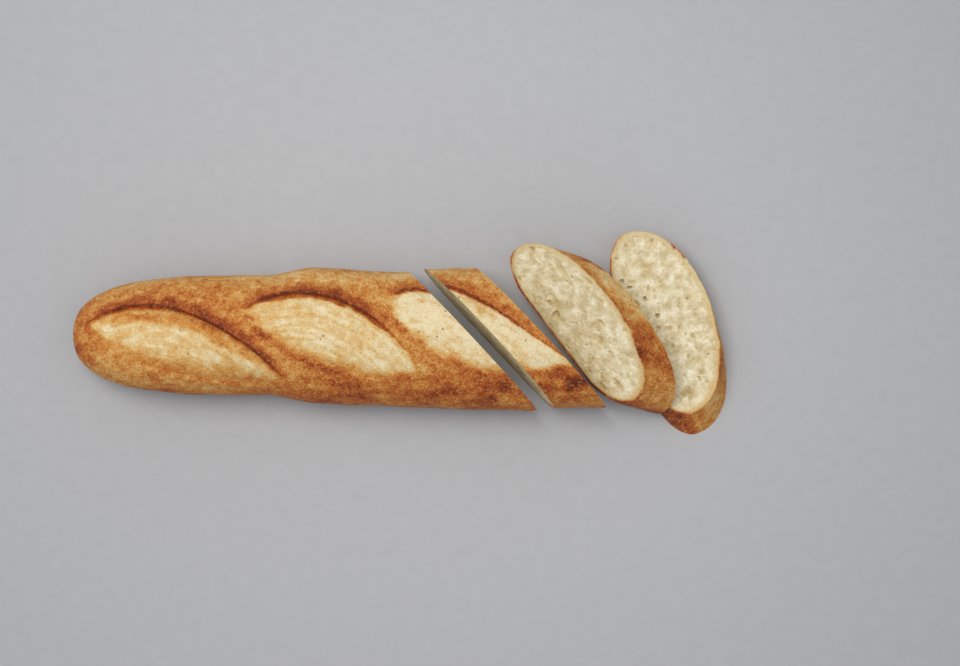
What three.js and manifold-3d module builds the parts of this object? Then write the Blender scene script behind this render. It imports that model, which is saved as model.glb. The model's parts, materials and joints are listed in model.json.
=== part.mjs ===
// A golden baguette, cut on the bias: the heel end of the loaf, one slice still standing beside it,
// and two slices that have tipped over, the second one leaning on the third.
// Units are millimetres, +Z is up, +X runs along the loaf from its heel towards the cut end, and the
// origin is at the bottom centre of the whole group's bounding box.
// Each piece of bread is a crust shell round a crumb core. In the top of the crust each slash of the
// baker's blade has opened into a pale bloom of dough, with a raised ear of crust along its upper edge.

import * as THREE from 'three';
import { mergeVertices } from 'three/addons/utils/BufferGeometryUtils.js';
import Module from 'manifold-3d';

const wasm = await Module();
wasm.setup();

// ---- The loaf, as it was baked ----
const HALF_WIDTH = 29.9; // half the loaf's width from the heel to the first slash's end
const SWELLS = [
  { by: 4, from: 95, to: 122 }, // it swells by this much to each side over these stretches
  { by: 1.5, from: 160, to: 230 },
];
const HEEL_TAPER = 80; // length over which the heel rounds off
const LOAF_HEIGHT = 42.5;
const TIP_HEIGHT = 17; // height of the heel's outermost point
const UNDERSIDE_TAPER = 20; // the underside lifts off the board over this length
const WAIST_SHARE = 0.35; // the section is widest at this share of its height
const SWAY = { by: -2.3, from: 112, to: 168 }; // and its centre line wanders sideways
const BAKED_LENGTH = 335; // more than the slices need: the far heel is already gone

// ---- Skins ----
const CRUST = 3; // thickness of the crust
const BLOOM_RECESS = 1.5; // depth of the slash's opening in the crust
const BLOOM_SKIN = 0.9; // thickness of the pale skin in it
const GAP = 0.3; // clearance between pieces that touch

// ---- Ears ----
const EAR_WIDTH = 7;
const EAR_LIFT = 2.6; // height of the lip above the skin
const EAR_ROOT = 0.4; // thickness of the ear where it grows out of the crust
const EAR_MIDDLE = 0.3; // the ear is this thick halfway across, plus half of its lift there
const EAR_TAPER = 0.6; // the ear shrinks towards its ends as the sine of its length to this power
const EAR_ENDS = 0.03; // share of the slash's length left bare at each end
const FACET_SAG = 0.35; // the flat facets of the ear dip this far below the curve they follow

// ---- Knife ----
const BIAS = THREE.MathUtils.degToRad(43); // between the loaf's axis and the cuts' normal, seen from above
// Each cut's distance at the board, along the cuts' normal, and how far the knife leaned off upright:
// a positive lean puts the cut's top further along than its foot.
const CUTS = [
  { at: 143.5, lean: 3 },
  { at: 163, lean: 1.5 },
  { at: 180.2, lean: -2.5 },
  { at: 190.7, lean: 2 },
];

// ---- Where the slices stand and lie ----
// A slice rests on its foot, the lower edge of its far face. The foot crosses the loaf's axis at this
// point, the far face rises from the board at this angle, and the foot is turned by yaw.
const STANDING = { foot: [230.6, 1], rise: 86, yaw: 0 };
const LEANING = { foot: [258.5, -4.2], rise: 45, yaw: -6 };
const FLAT = { foot: [282.6, -6.4], rise: 0, yaw: -22.8 };

// ---- Resolution ----
const SIDES = 24; // points round the loaf
const STATION_STEP = 15; // distance between rings of points along it
const EAR_STEPS = 9; // lengths that each ear, and each edge of a slash, is made of

// The loaf's outline
const rounded = (x, length, fullness, bluntness) =>
  x >= length ? 1 : Math.pow(1 - Math.pow(1 - x / length, fullness), 1 / bluntness);
const eased = (x, stretch) => stretch.by * THREE.MathUtils.smoothstep(x, stretch.from, stretch.to);
const halfWidth = (x) =>
  SWELLS.reduce((width, swell) => width + eased(x, swell), HALF_WIDTH) * rounded(x, HEEL_TAPER, 2.6, 2.8);
const topAt = (x) => TIP_HEIGHT + (LOAF_HEIGHT - TIP_HEIGHT) * rounded(x, HEEL_TAPER, 2.6, 2.4);
const baseAt = (x) => TIP_HEIGHT * (1 - rounded(x, UNDERSIDE_TAPER, 2.4, 2.2));
const centreAt = (x) => 0.45 + eased(x, SWAY);

const power = (value, exponent) => Math.sign(value) * Math.pow(Math.abs(value), exponent);
const DOME = 2 / 2.1; // superellipse exponents of the dome and of the flatter underside
const BELLY = 2 / 2.3;
const FLATTEN = 1.2; // the underside's curve would reach this much lower, and is cut off flat

// A point of the section at x, at an angle round it, drawn in by inset.
function sectionPoint(x, angle, inset) {
  const width = halfWidth(x) - inset,
    top = topAt(x) - inset,
    base = baseAt(x) + inset;
  const waist = base + WAIST_SHARE * (top - base);
  const c = Math.cos(angle),
    s = Math.sin(angle);
  if (s >= 0) return [centreAt(x) + width * power(c, DOME), waist + (top - waist) * power(s, DOME)];
  return [
    centreAt(x) + width * power(c, BELLY),
    Math.max(base, waist + FLATTEN * (waist - base) * power(s, BELLY)),
  ];
}

// Height of the loaf's skin above the board, over a point in the top half of its outline.
function skinHeight(x, y) {
  const across = Math.min(1, Math.abs((y - centreAt(x)) / halfWidth(x)));
  const waist = baseAt(x) + WAIST_SHARE * (topAt(x) - baseAt(x));
  return waist + (topAt(x) - waist) * Math.pow(1 - Math.pow(across, 2 / DOME), DOME / 2);
}

// Stations along the loaf, close together where the heel turns in.
function stations(inset) {
  const list = [];
  for (let x = 0.2; x < 24; x += 1 + 0.4 * x) list.push(x + inset);
  for (let x = 30; x < BAKED_LENGTH; x += STATION_STEP) list.push(x);
  list.push(BAKED_LENGTH);
  return list;
}

// A closed solid from a position array and an index.
function solid(positions, index) {
  const geometry = new THREE.BufferGeometry();
  geometry.setAttribute('position', new THREE.Float32BufferAttribute(positions, 3));
  geometry.setIndex(index);
  return solidOf(geometry);
}

function solidOf(geometry) {
  const bare = new THREE.BufferGeometry().setAttribute('position', geometry.getAttribute('position'));
  bare.setIndex(geometry.index);
  const merged = mergeVertices(bare, 1e-4);
  return new wasm.Manifold(
    new wasm.Mesh({
      numProp: 3,
      vertProperties: new Float32Array(merged.attributes.position.array),
      triVerts: new Uint32Array(merged.index.array),
    }),
  );
}

// A tube of rings, closed at both ends by a fan. Each ring is a list of points, from +Y towards +Z when
// the tube runs along +X.
function loft(rings) {
  const sides = rings[0].length,
    positions = rings.flat(2),
    index = [];
  for (let i = 0; i + 1 < rings.length; i++)
    for (let j = 0; j < sides; j++) {
      const a = i * sides + j,
        b = i * sides + ((j + 1) % sides);
      index.push(a, b, a + sides, b, b + sides, a + sides);
    }
  [0, rings.length - 1].forEach((end) => {
    const centre = positions.length / 3;
    for (let axis = 0; axis < 3; axis++)
      positions.push(rings[end].reduce((sum, p) => sum + p[axis], 0) / sides);
    for (let j = 0; j < sides; j++) {
      const a = end * sides + j,
        b = end * sides + ((j + 1) % sides);
      if (end === 0) index.push(centre, b, a);
      else index.push(centre, a, b);
    }
  });
  return solid(positions, index);
}

// The loaf's body, drawn in by inset from its skin.
function bakedBody(inset) {
  const rings = stations(inset).map((x) =>
    Array.from({ length: SIDES }, (_, j) => {
      const [y, z] = sectionPoint(x, (2 * Math.PI * j) / SIDES, inset);
      return [x, y, z];
    }),
  );
  return loft(rings);
}

// The slashes, seen from above: the ear's line runs along the top of each, and the opening's lower
// edge comes back underneath it.
const SLASHES = [
  { ear: [[8, 5], [30, 22], [72, 20], [109, -23]], lower: [[80, -24], [30, -20]] },
  { ear: [[87, 13], [103, 27], [152, 27], [174, -18]], lower: [[150, -27], [104, -10]] },
  { ear: [[157, 19], [182, 31], [199.5, 12.5], [240.5, -15]], lower: [[216, -25], [172, -14]] },
  { ear: [[212, 19], [227, 31], [263, 13], [301, -14]], lower: [[275, -24], [227, -14]] },
];
const vector = ([x, y]) => new THREE.Vector2(x, y);
const earLine = (slash) => new THREE.CubicBezierCurve(...slash.ear.map(vector));
const lowerEdge = (slash) =>
  new THREE.CubicBezierCurve(...[slash.ear[3], ...slash.lower, slash.ear[0]].map(vector));

// The opening's outline as an upright prism, through the top half of the loaf only.
function openingPrism(slash, margin) {
  const edges = [earLine(slash), lowerEdge(slash)];
  const points = edges.flatMap((edge) => edge.getSpacedPoints(EAR_STEPS).slice(0, -1));
  const middle = points.reduce((sum, p) => sum.add(p), new THREE.Vector2()).divideScalar(points.length);
  const drawn = points.map((p, i) => {
    const before = points[(i + points.length - 1) % points.length],
      after = points[(i + 1) % points.length];
    const along = after.clone().sub(before).normalize();
    const inward = new THREE.Vector2(along.y, -along.x);
    if (inward.dot(middle.clone().sub(p)) < 0) inward.negate();
    return p.clone().addScaledVector(inward, margin);
  });
  const outline = new THREE.Shape(drawn);
  const geometry = new THREE.ExtrudeGeometry(outline, { depth: LOAF_HEIGHT, bevelEnabled: false });
  geometry.translate(0, 0, WAIST_SHARE * LOAF_HEIGHT + CRUST);
  geometry.deleteAttribute('normal');
  geometry.deleteAttribute('uv');
  return solidOf(mergeVertices(geometry, 1e-4));
}

// The ear: a wedge of crust that rises to its lip along the slash and hangs just clear of the skin.
function earWedge(slash) {
  const line = earLine(slash);
  const rings = Array.from({ length: EAR_STEPS + 1 }, (_, i) => {
    const t = EAR_ENDS + ((1 - 2 * EAR_ENDS) * i) / EAR_STEPS;
    const p = line.getPointAt(t),
      along = line.getTangentAt(t);
    const full = Math.pow(Math.sin(Math.PI * t), EAR_TAPER);
    const root = p.clone().addScaledVector(new THREE.Vector2(-along.y, along.x), EAR_WIDTH * full);
    const over = (q) => skinHeight(q.x, q.y) + GAP + FACET_SAG;
    const middle = p.clone().lerp(root, 0.5);
    return [
      [middle.x, middle.y, over(middle)],
      [root.x, root.y, over(root)],
      [root.x, root.y, over(root) + EAR_ROOT],
      [middle.x, middle.y, over(middle) + EAR_MIDDLE + 0.5 * EAR_LIFT * full],
      [p.x, p.y, over(p) + EAR_LIFT * full],
      [p.x, p.y, over(p)],
    ];
  });
  return loft(rings);
}

// The block of space on one side of a cut, in the loaf's frame.
const REACH = 800;
function beside(cut, side) {
  const box = new THREE.BoxGeometry(REACH, REACH, REACH);
  box.deleteAttribute('normal');
  box.deleteAttribute('uv');
  box.translate((side * REACH) / 2, 0, 0);
  box.rotateY(THREE.MathUtils.degToRad(cut.lean));
  box.translate(cut.at, 0, 0);
  box.rotateZ(BIAS);
  return solidOf(box);
}
const before = (cut) => beside(cut, -1);
const after = (cut) => beside(cut, 1);

// ---- Finishes ----
const finish = (color, roughness) => new THREE.MeshStandardMaterial({ color, roughness, metalness: 0 });
const crustFinish = finish(0xc07a35, 0.55);
const crumbFinish = finish(0xe3d8b0, 0.95);
const bloomFinish = finish(0xe2c68c, 0.85);
const earFinish = finish(0xa4572a, 0.6);

function meshOf(name, shape, material) {
  const { numProp, vertProperties, triVerts } = shape.getMesh();
  const positions = new Float32Array((vertProperties.length / numProp) * 3);
  for (let i = 0; i < positions.length / 3; i++)
    positions.set(vertProperties.subarray(i * numProp, i * numProp + 3), i * 3);
  const geometry = new THREE.BufferGeometry();
  geometry.setAttribute('position', new THREE.BufferAttribute(positions, 3));
  geometry.setIndex(new THREE.BufferAttribute(triVerts, 1));
  geometry.computeVertexNormals();
  const mesh = new THREE.Mesh(geometry, material);
  mesh.name = name;
  return mesh;
}

// ---- The whole loaf before it is cut ----
const blooms = SLASHES.map((slash) => ({
  recess: openingPrism(slash, 0).subtract(bakedBody(BLOOM_RECESS)),
  patch: openingPrism(slash, GAP)
    .intersect(bakedBody(BLOOM_RECESS - GAP - BLOOM_SKIN))
    .subtract(bakedBody(BLOOM_RECESS - GAP)),
  ear: earWedge(slash),
}));
const wholeCrust = bakedBody(0).subtract(bakedBody(CRUST));
const crust = blooms.reduce((shell, bloom) => shell.subtract(bloom.recess), wholeCrust);
const crumb = bakedBody(CRUST + GAP);

// The pieces of one part of the loaf: its crust, its crumb, and its share of each slash.
function pieceOf(name, block, slashNumbers) {
  const parts = [
    meshOf(`${name}_crust`, crust.intersect(block), crustFinish),
    meshOf(`${name}_crumb`, crumb.intersect(block), crumbFinish),
  ];
  slashNumbers.forEach((number, i) => {
    const suffix = slashNumbers.length > 1 ? `_${i + 1}` : '';
    parts.push(
      meshOf(`${name}_bloom${suffix}`, blooms[number].patch.intersect(block), bloomFinish),
      meshOf(`${name}_ear${suffix}`, blooms[number].ear.intersect(block), earFinish),
    );
  });
  return parts;
}

const baguette = new THREE.Group();

// ---- Heel end of the loaf ----
baguette.add(...pieceOf('loaf', before(CUTS[0]), [0, 1, 2]));

// ---- Slices ----
// A slice is cut from the whole loaf, turned about its foot and set down on the board.
const footLine = new THREE.Vector3(Math.sin(BIAS), -Math.cos(BIAS), 0);
function addSlice(number, slash, pose) {
  const near = CUTS[number - 1],
    far = CUTS[number];
  const parts = pieceOf(`slice_${number}`, after(near).intersect(before(far)), [slash]);
  parts.forEach((mesh) => mesh.geometry.translate(-far.at / Math.cos(BIAS), 0, 0));
  const tipped = new THREE.Group();
  tipped.quaternion.setFromAxisAngle(footLine, -THREE.MathUtils.degToRad(90 - far.lean - pose.rise));
  tipped.add(...parts);
  const placed = new THREE.Group();
  placed.rotation.z = THREE.MathUtils.degToRad(pose.yaw);
  placed.position.set(...pose.foot, 0);
  placed.add(tipped);
  baguette.add(placed);
}
addSlice(1, 2, STANDING);
addSlice(2, 3, LEANING);
addSlice(3, 3, FLAT);

// ---- Origin at the bottom centre of the whole group ----
const bounds = new THREE.Box3().setFromObject(baguette, true);
const centre = bounds.getCenter(new THREE.Vector3());
baguette.position.set(-centre.x, -centre.y, -bounds.min.z);

export default baguette;
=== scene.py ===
# A golden baguette, cut on the bias: the heel end of the loaf, one slice standing beside it and two
# slices that have tipped over. Each part has a baked crust, the pale blooms where the baker's slashes
# opened, the ears of crust raised along them, and a crumb full of holes. Lengths are in millimetres
# along the loaf as it was baked (x from the heel's tip, y across, z up) until a mesh is made.

import json
import math

import bpy
import numpy as np
from mathutils import Matrix, Vector, geometry

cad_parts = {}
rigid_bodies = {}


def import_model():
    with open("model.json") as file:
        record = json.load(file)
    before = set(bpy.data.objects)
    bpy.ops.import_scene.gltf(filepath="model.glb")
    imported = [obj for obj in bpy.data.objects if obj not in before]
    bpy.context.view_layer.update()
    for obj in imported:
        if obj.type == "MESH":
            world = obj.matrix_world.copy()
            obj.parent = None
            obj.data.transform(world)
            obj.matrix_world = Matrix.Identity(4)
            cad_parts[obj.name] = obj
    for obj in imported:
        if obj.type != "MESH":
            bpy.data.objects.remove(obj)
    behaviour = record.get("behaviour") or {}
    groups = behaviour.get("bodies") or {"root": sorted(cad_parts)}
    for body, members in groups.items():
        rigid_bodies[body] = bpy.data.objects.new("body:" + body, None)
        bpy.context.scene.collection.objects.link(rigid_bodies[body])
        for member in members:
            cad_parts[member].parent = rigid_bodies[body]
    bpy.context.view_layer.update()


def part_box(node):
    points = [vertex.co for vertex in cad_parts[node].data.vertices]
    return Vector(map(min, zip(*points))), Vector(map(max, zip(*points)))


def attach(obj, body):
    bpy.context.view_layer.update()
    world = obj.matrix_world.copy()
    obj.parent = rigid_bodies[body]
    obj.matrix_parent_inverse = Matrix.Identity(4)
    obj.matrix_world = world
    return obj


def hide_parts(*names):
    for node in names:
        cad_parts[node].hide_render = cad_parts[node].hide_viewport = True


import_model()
MM = 0.001

# ---- Board, light and camera ----
# The bread lies on a plain matt grey board. Its grey is painted darker away from the middle, a painted
# shade standing in for light falling off towards the edges of the view. A large soft lamp hangs beyond the
# loaf's back, over its heel, and the room fills the shadows.
crust_low, crust_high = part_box("loaf_crust")
HEEL_TIP_STATION = 0.2
WIDEST_SIDE = 37.25  # from the loaf's axis to its widest point, on the slashed side
heel = Vector((crust_low[0] - HEEL_TIP_STATION * MM, crust_low[1] + WIDEST_SIDE * MM, 0))


def new_material(name, roughness):
    material = bpy.data.materials.new(name)
    material.use_nodes = True
    shader = material.node_tree.nodes["Principled BSDF"]
    shader.inputs["Roughness"].default_value = roughness
    shader.inputs["Specular IOR Level"].default_value = 0.18
    return material, material.node_tree.nodes, material.node_tree.links, shader


def noise_node(nodes, links, coordinate, scale, detail=3.0, roughness=0.5):
    node = nodes.new("ShaderNodeTexNoise")
    node.inputs["Scale"].default_value = scale
    node.inputs["Detail"].default_value = detail
    node.inputs["Roughness"].default_value = roughness
    links.new(coordinate, node.inputs["Vector"])
    return node.outputs["Fac"]


def ramp_node(nodes, links, value, stops):
    node = nodes.new("ShaderNodeValToRGB")
    ramp = node.color_ramp
    while len(ramp.elements) < len(stops):
        ramp.elements.new(0.5)
    for element, (place, colour) in zip(ramp.elements, stops):
        element.position = place
        element.color = (*colour, 1)
    links.new(value, node.inputs["Fac"])
    return node.outputs["Color"]


def range_node(nodes, links, value, low, high, to_low=0.0, to_high=1.0):
    node = nodes.new("ShaderNodeMapRange")
    for name, number in (("From Min", low), ("From Max", high), ("To Min", to_low), ("To Max", to_high)):
        node.inputs[name].default_value = number
    links.new(value, node.inputs["Value"])
    return node.outputs["Result"]


def mix_node(nodes, links, share, first, second, blend="MIX"):
    node = nodes.new("ShaderNodeMix")
    node.data_type = "RGBA"
    node.blend_type = blend
    for index, value in ((0, share), (6, first), (7, second)):
        if isinstance(value, (int, float)):
            node.inputs[index].default_value = value
        elif isinstance(value, tuple):
            node.inputs[index].default_value = (*value, 1)
        else:
            links.new(value, node.inputs[index])
    return node.outputs[2]


BOARD_REACH = 4
BOARD_COLOUR = (0.445, 0.447, 0.46)
PAINTED_FALLOFF_MIDDLE = (0.06, 0.02, 0)
PAINTED_FALLOFF_START, PAINTED_FALLOFF_END, PAINTED_FALLOFF_DARKEST = 0.12, 0.36, 0.84
board_corners = [(x * BOARD_REACH, y * BOARD_REACH, 0) for x, y in ((-1, -1), (1, -1), (1, 1), (-1, 1))]
board_mesh = bpy.data.meshes.new("board")
board_mesh.from_pydata(board_corners, [], [(0, 1, 2, 3)])
board = bpy.data.objects.new("board", board_mesh)
bpy.context.collection.objects.link(board)
board_material, nodes, links, shader = new_material("board_grey", 0.85)
place = nodes.new("ShaderNodeTexCoord").outputs["Object"]
mottle = noise_node(nodes, links, place, 140, 4)
darker_grey = tuple(0.97 * part for part in BOARD_COLOUR)
tint = ramp_node(nodes, links, mottle, [(0.35, darker_grey), (0.65, BOARD_COLOUR)])
from_middle = nodes.new("ShaderNodeVectorMath")
from_middle.operation = "SUBTRACT"
links.new(place, from_middle.inputs[0])
from_middle.inputs[1].default_value = PAINTED_FALLOFF_MIDDLE
off_centre = nodes.new("ShaderNodeVectorMath")
off_centre.operation = "LENGTH"
links.new(from_middle.outputs["Vector"], off_centre.inputs[0])
# Painted shade: the board's grey is multiplied darker with distance from the middle, as light falling off
# would make it.
painted_falloff = range_node(nodes, links, off_centre.outputs["Value"], PAINTED_FALLOFF_START, PAINTED_FALLOFF_END, 1.0, PAINTED_FALLOFF_DARKEST)
tint = mix_node(nodes, links, 1.0, tint, painted_falloff, "MULTIPLY")
links.new(tint, shader.inputs["Base Color"])
board_mesh.materials.append(board_material)

CAMERA_PLACE = Vector((0.2035, 0.0015, 1.1))  # over the middle of the bread, from the heel's tip
LENS, SENSOR = 81, 36
camera_data = bpy.data.cameras.new("camera")
camera_data.lens = LENS
camera_data.sensor_width = SENSOR
camera = bpy.data.objects.new("camera", camera_data)
camera.location = heel + CAMERA_PLACE
bpy.context.collection.objects.link(camera)
bpy.context.scene.camera = camera

LAMP_PLACE = Vector((-0.4, 0.36, 1.25))
LAMP_SIZE, LAMP_POWER, LAMP_TINT = 0.9, 10.9, (1.0, 0.985, 0.96)
lamp_data = bpy.data.lights.new("key_lamp", "AREA")
lamp_data.shape = "DISK"
lamp_data.size = LAMP_SIZE
lamp_data.energy = LAMP_POWER
lamp_data.color = LAMP_TINT
lamp = bpy.data.objects.new("key_lamp", lamp_data)
lamp.location = LAMP_PLACE
lamp.rotation_euler = (-LAMP_PLACE).to_track_quat("-Z", "Y").to_euler()
bpy.context.collection.objects.link(lamp)

ROOM_TINT, ROOM_STRENGTH = (0.97, 0.985, 1.0), 0.62
world = bpy.data.worlds.new("room")
world.use_nodes = True
world.node_tree.nodes["Background"].inputs["Color"].default_value = (*ROOM_TINT, 1)
world.node_tree.nodes["Background"].inputs["Strength"].default_value = ROOM_STRENGTH
bpy.context.scene.world = world
bpy.context.scene.view_settings.view_transform = "Standard"

# ---- The loaf as it was baked ----
# One long loaf of lean dough: blunt at the heel, a little wider past the first slash, domed above its
# waist and flat underneath. Every part is cut from this one shape.
HALF_WIDTH = 29.9
SWELLINGS = [(95, 122, 4), (160, 230, 1.5)]  # from and to along the loaf, and how much wider
HEEL_TAPER, TIP_HEIGHT, UNDERSIDE_TAPER = 80, 17, 20
SIDE_ROUNDING, TOP_ROUNDING, BASE_ROUNDING = (2.6, 2.8), (2.6, 2.4), (2.4, 2.2)  # fullness, bluntness
LOAF_HEIGHT = crust_high[2] / MM
WAIST_SHARE, DOME, BELLY, FLATTEN = 0.35, 2 / 2.1, 2 / 2.3, 1.2
CENTRE, DRIFT, DRIFT_START, DRIFT_END = 0.45, 2.3, 112, 168  # the loaf's axis bends a little
BIAS = math.radians(43)
CUTS = [(143.5, 3), (163, 1.5), (180.2, -2.5), (190.7, 2)]  # distance along the cuts' normal, lean
ANGLE_STEP, STATION_STEP, NOTHING = 0.004, 0.3, 1e-9
PRIMES, SEED_STEP = (73856093, 19349663, 83492791), 2654435761
SCRAMBLERS = [(15, 2246822519), (13, 3266489917)]


def smooth(start, end, value):
    t = np.clip((value - start) / (end - start), 0, 1)
    return t * t * (3 - 2 * t)


def rounded(x, length, fullness, bluntness):
    share = np.clip(1 - x / length, 0, 1)
    return np.power(1 - np.power(share, fullness), 1 / bluntness)


def half_width(x):
    swollen = HALF_WIDTH
    for start, end, more in SWELLINGS:
        swollen = swollen + more * smooth(start, end, x)
    return swollen * rounded(x, HEEL_TAPER, *SIDE_ROUNDING)


def signed_power(value, exponent):
    return np.sign(value) * np.power(np.abs(value), exponent)


def section(x, angle, inset=0.0):
    """The skin's point at station x and an angle round the loaf, drawn in by inset."""
    width = np.maximum(half_width(x) - inset, 0)
    middle = TIP_HEIGHT
    top = middle + np.maximum((LOAF_HEIGHT - middle) * rounded(x, HEEL_TAPER, *TOP_ROUNDING) - inset, 0)
    base = middle - np.maximum(middle * rounded(x, UNDERSIDE_TAPER, *BASE_ROUNDING) - inset, 0)
    waist = base + WAIST_SHARE * (top - base)
    c, s = np.cos(angle), np.sin(angle)
    above = s >= 0
    across = width * np.where(above, signed_power(c, DOME), signed_power(c, BELLY))
    domed = waist + (top - waist) * signed_power(np.maximum(s, 0), DOME)
    belly = np.maximum(base, waist + FLATTEN * (waist - base) * signed_power(np.minimum(s, 0), BELLY))
    centre = CENTRE - DRIFT * smooth(DRIFT_START, DRIFT_END, x)
    return np.stack([x, centre + across, np.where(above, domed, belly)], -1)


def unit_outward(round_it, along):
    """The outward direction from the two directions along a surface; the heel's tip faces back."""
    outward = np.cross(round_it, along)
    size = np.linalg.norm(outward, axis=-1, keepdims=True)
    return np.where(size > NOTHING, outward / np.maximum(size, NOTHING), np.array([-1.0, 0, 0]))


def skin_normal(x, angle):
    round_it = section(x, angle + ANGLE_STEP) - section(x, angle - ANGLE_STEP)
    nearer, further = np.maximum(x - STATION_STEP, 0.0), x + STATION_STEP
    return unit_outward(round_it, section(further, angle) - section(nearer, angle))


def noise(points, size, seed):
    """Smooth random numbers from -1 to 1 that change over about this size."""
    scaled = points / size
    cell = np.floor(scaled).astype(np.int64)
    part = scaled - cell
    part = part * part * (3 - 2 * part)
    total = 0
    for corner in np.ndindex(2, 2, 2):
        key = sum((cell[..., i] + corner[i]) * prime for i, prime in enumerate(PRIMES))
        key = (key + seed * SEED_STEP) & 0xFFFFFFFF
        for shift, scrambler in SCRAMBLERS:
            key = ((key ^ (key >> shift)) * scrambler) & 0xFFFFFFFF
        value = ((key ^ (key >> 16)) & 0xFFFF) / 32767.5 - 1
        weight = 1.0
        for i in range(3):
            weight = weight * (part[..., i] if corner[i] else 1 - part[..., i])
        total = total + value * weight
    return total


# ---- Slashes ----
# Each slash of the blade ran slantwise over the top. Its upper edge lifted into an ear, and the dough
# under it burst out as a bloom that ends at a ragged lower edge.
SLASHES = [
    {"ear": [(8, 5), (30, 22), (72, 20), (109, -23)], "lower": [(30, -20), (80, -24)]},
    {"ear": [(87, 13), (103, 27), (152, 27), (174, -18)], "lower": [(104, -10), (150, -27)]},
    {"ear": [(157, 19), (182, 31), (199.5, 12.5), (240.5, -15)], "lower": [(172, -14), (216, -25)]},
    {"ear": [(212, 19), (227, 31), (263, 13), (301, -14)], "lower": [(227, -14), (275, -24)]},
]
# How high each ear stands; how dark the line along its lip is, partly the lip's own darker bake and partly
# painted shadow from the ear along the bloom's edge; how dark the crust behind it baked, and over what
# share of its length; and the width and bake of the browned strip under it.
BLOOM_LOOKS = [
    {"lift": 1.6, "lip": 0.34, "band": 0.30, "lip_share": (1.0, 1.2), "strip": 9.5, "strip_bake": 0.43},
    {"lift": 1.2, "lip": 0.34, "band": 0.27, "lip_share": (0.55, 0.95), "strip": 3.0, "strip_bake": 0.56},
    {"lift": 0.9, "lip": 0.36, "band": 0.20, "lip_share": (0.4, 0.95), "strip": 1.3, "strip_bake": 0.44},
    {"lift": 0.4, "lip": 0.14, "band": 0.10, "lip_share": (0.3, 0.6), "strip": 7.0, "strip_bake": 0.62},
]
# The bakes of each bloom and of the crust along its lower edge, and how far up from that edge the bloom
# takes to fade in.
BLOOM_BAKES = [
    {"pale": 0.15, "edge": 0.06, "fade": (1, 11)},
    {"pale": 0.13, "edge": 0.2, "fade": (-1, 9)},
    {"pale": 0.06, "edge": 0.12, "fade": (-1.5, 5)},
    {"pale": 0.25, "edge": 0.0, "fade": (1, 8)},
]
EAR_REACH, EAR_OVERHANG = 7.0, 0.9
BED_DIP, BED_SWELL, STRIP_STEP, TORN_EDGE = 0.7, 0.9, 0.07, 0.2
CELL = 0.85  # the distance between neighbouring points of the skin
CURVE_POINTS = 240
SWELLS = [(0.3, 19.0, 1), (0.26, 7.0, 2), (0.15, 2.6, 3)]  # height, size and seed
PORES = (0.07, 1.4, 4)


def bezier(points):
    t = np.linspace(0, 1, CURVE_POINTS)[:, None]
    a, b, c, d = (np.array(p, float) for p in points)
    return (1 - t) ** 3 * a + 3 * t * (1 - t) ** 2 * b + 3 * t * t * (1 - t) * c + t**3 * d


for slash, looks, bakes in zip(SLASHES, BLOOM_LOOKS, BLOOM_BAKES):
    slash.update(looks)
    slash.update(bakes)
    slash["ear_line"] = bezier(slash["ear"])
    slash["lower_line"] = bezier([slash["ear"][0], *slash["lower"], slash["ear"][3]])


def across_slash(slash, x, y):
    """How full the slash is at x, and a point's distances from the ear and from the lower edge."""
    ear, lower = slash["ear_line"], slash["lower_line"]
    start, end = ear[0, 0], ear[-1, 0]
    share = np.clip((x - start) / (end - start), 0, 1)
    full = np.power(np.maximum(np.sin(np.pi * share), 0), 0.6)
    slope = np.interp(x, ear[:, 0], np.gradient(ear[:, 1], ear[:, 0]))
    lower_slope = np.interp(x, lower[:, 0], np.gradient(lower[:, 1], lower[:, 0]))
    from_ear = (np.interp(x, ear[:, 0], ear[:, 1]) - y) / np.hypot(1, slope)
    from_lower = (y - np.interp(x, lower[:, 0], lower[:, 1])) / np.hypot(1, lower_slope)
    return full, share, from_ear, from_lower, slope


def ragged(points):
    """How far a torn edge strays here and there."""
    return 2.6 * noise(points, 5.0, 9) + 1.4 * noise(points, 2.0, 10)


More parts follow.
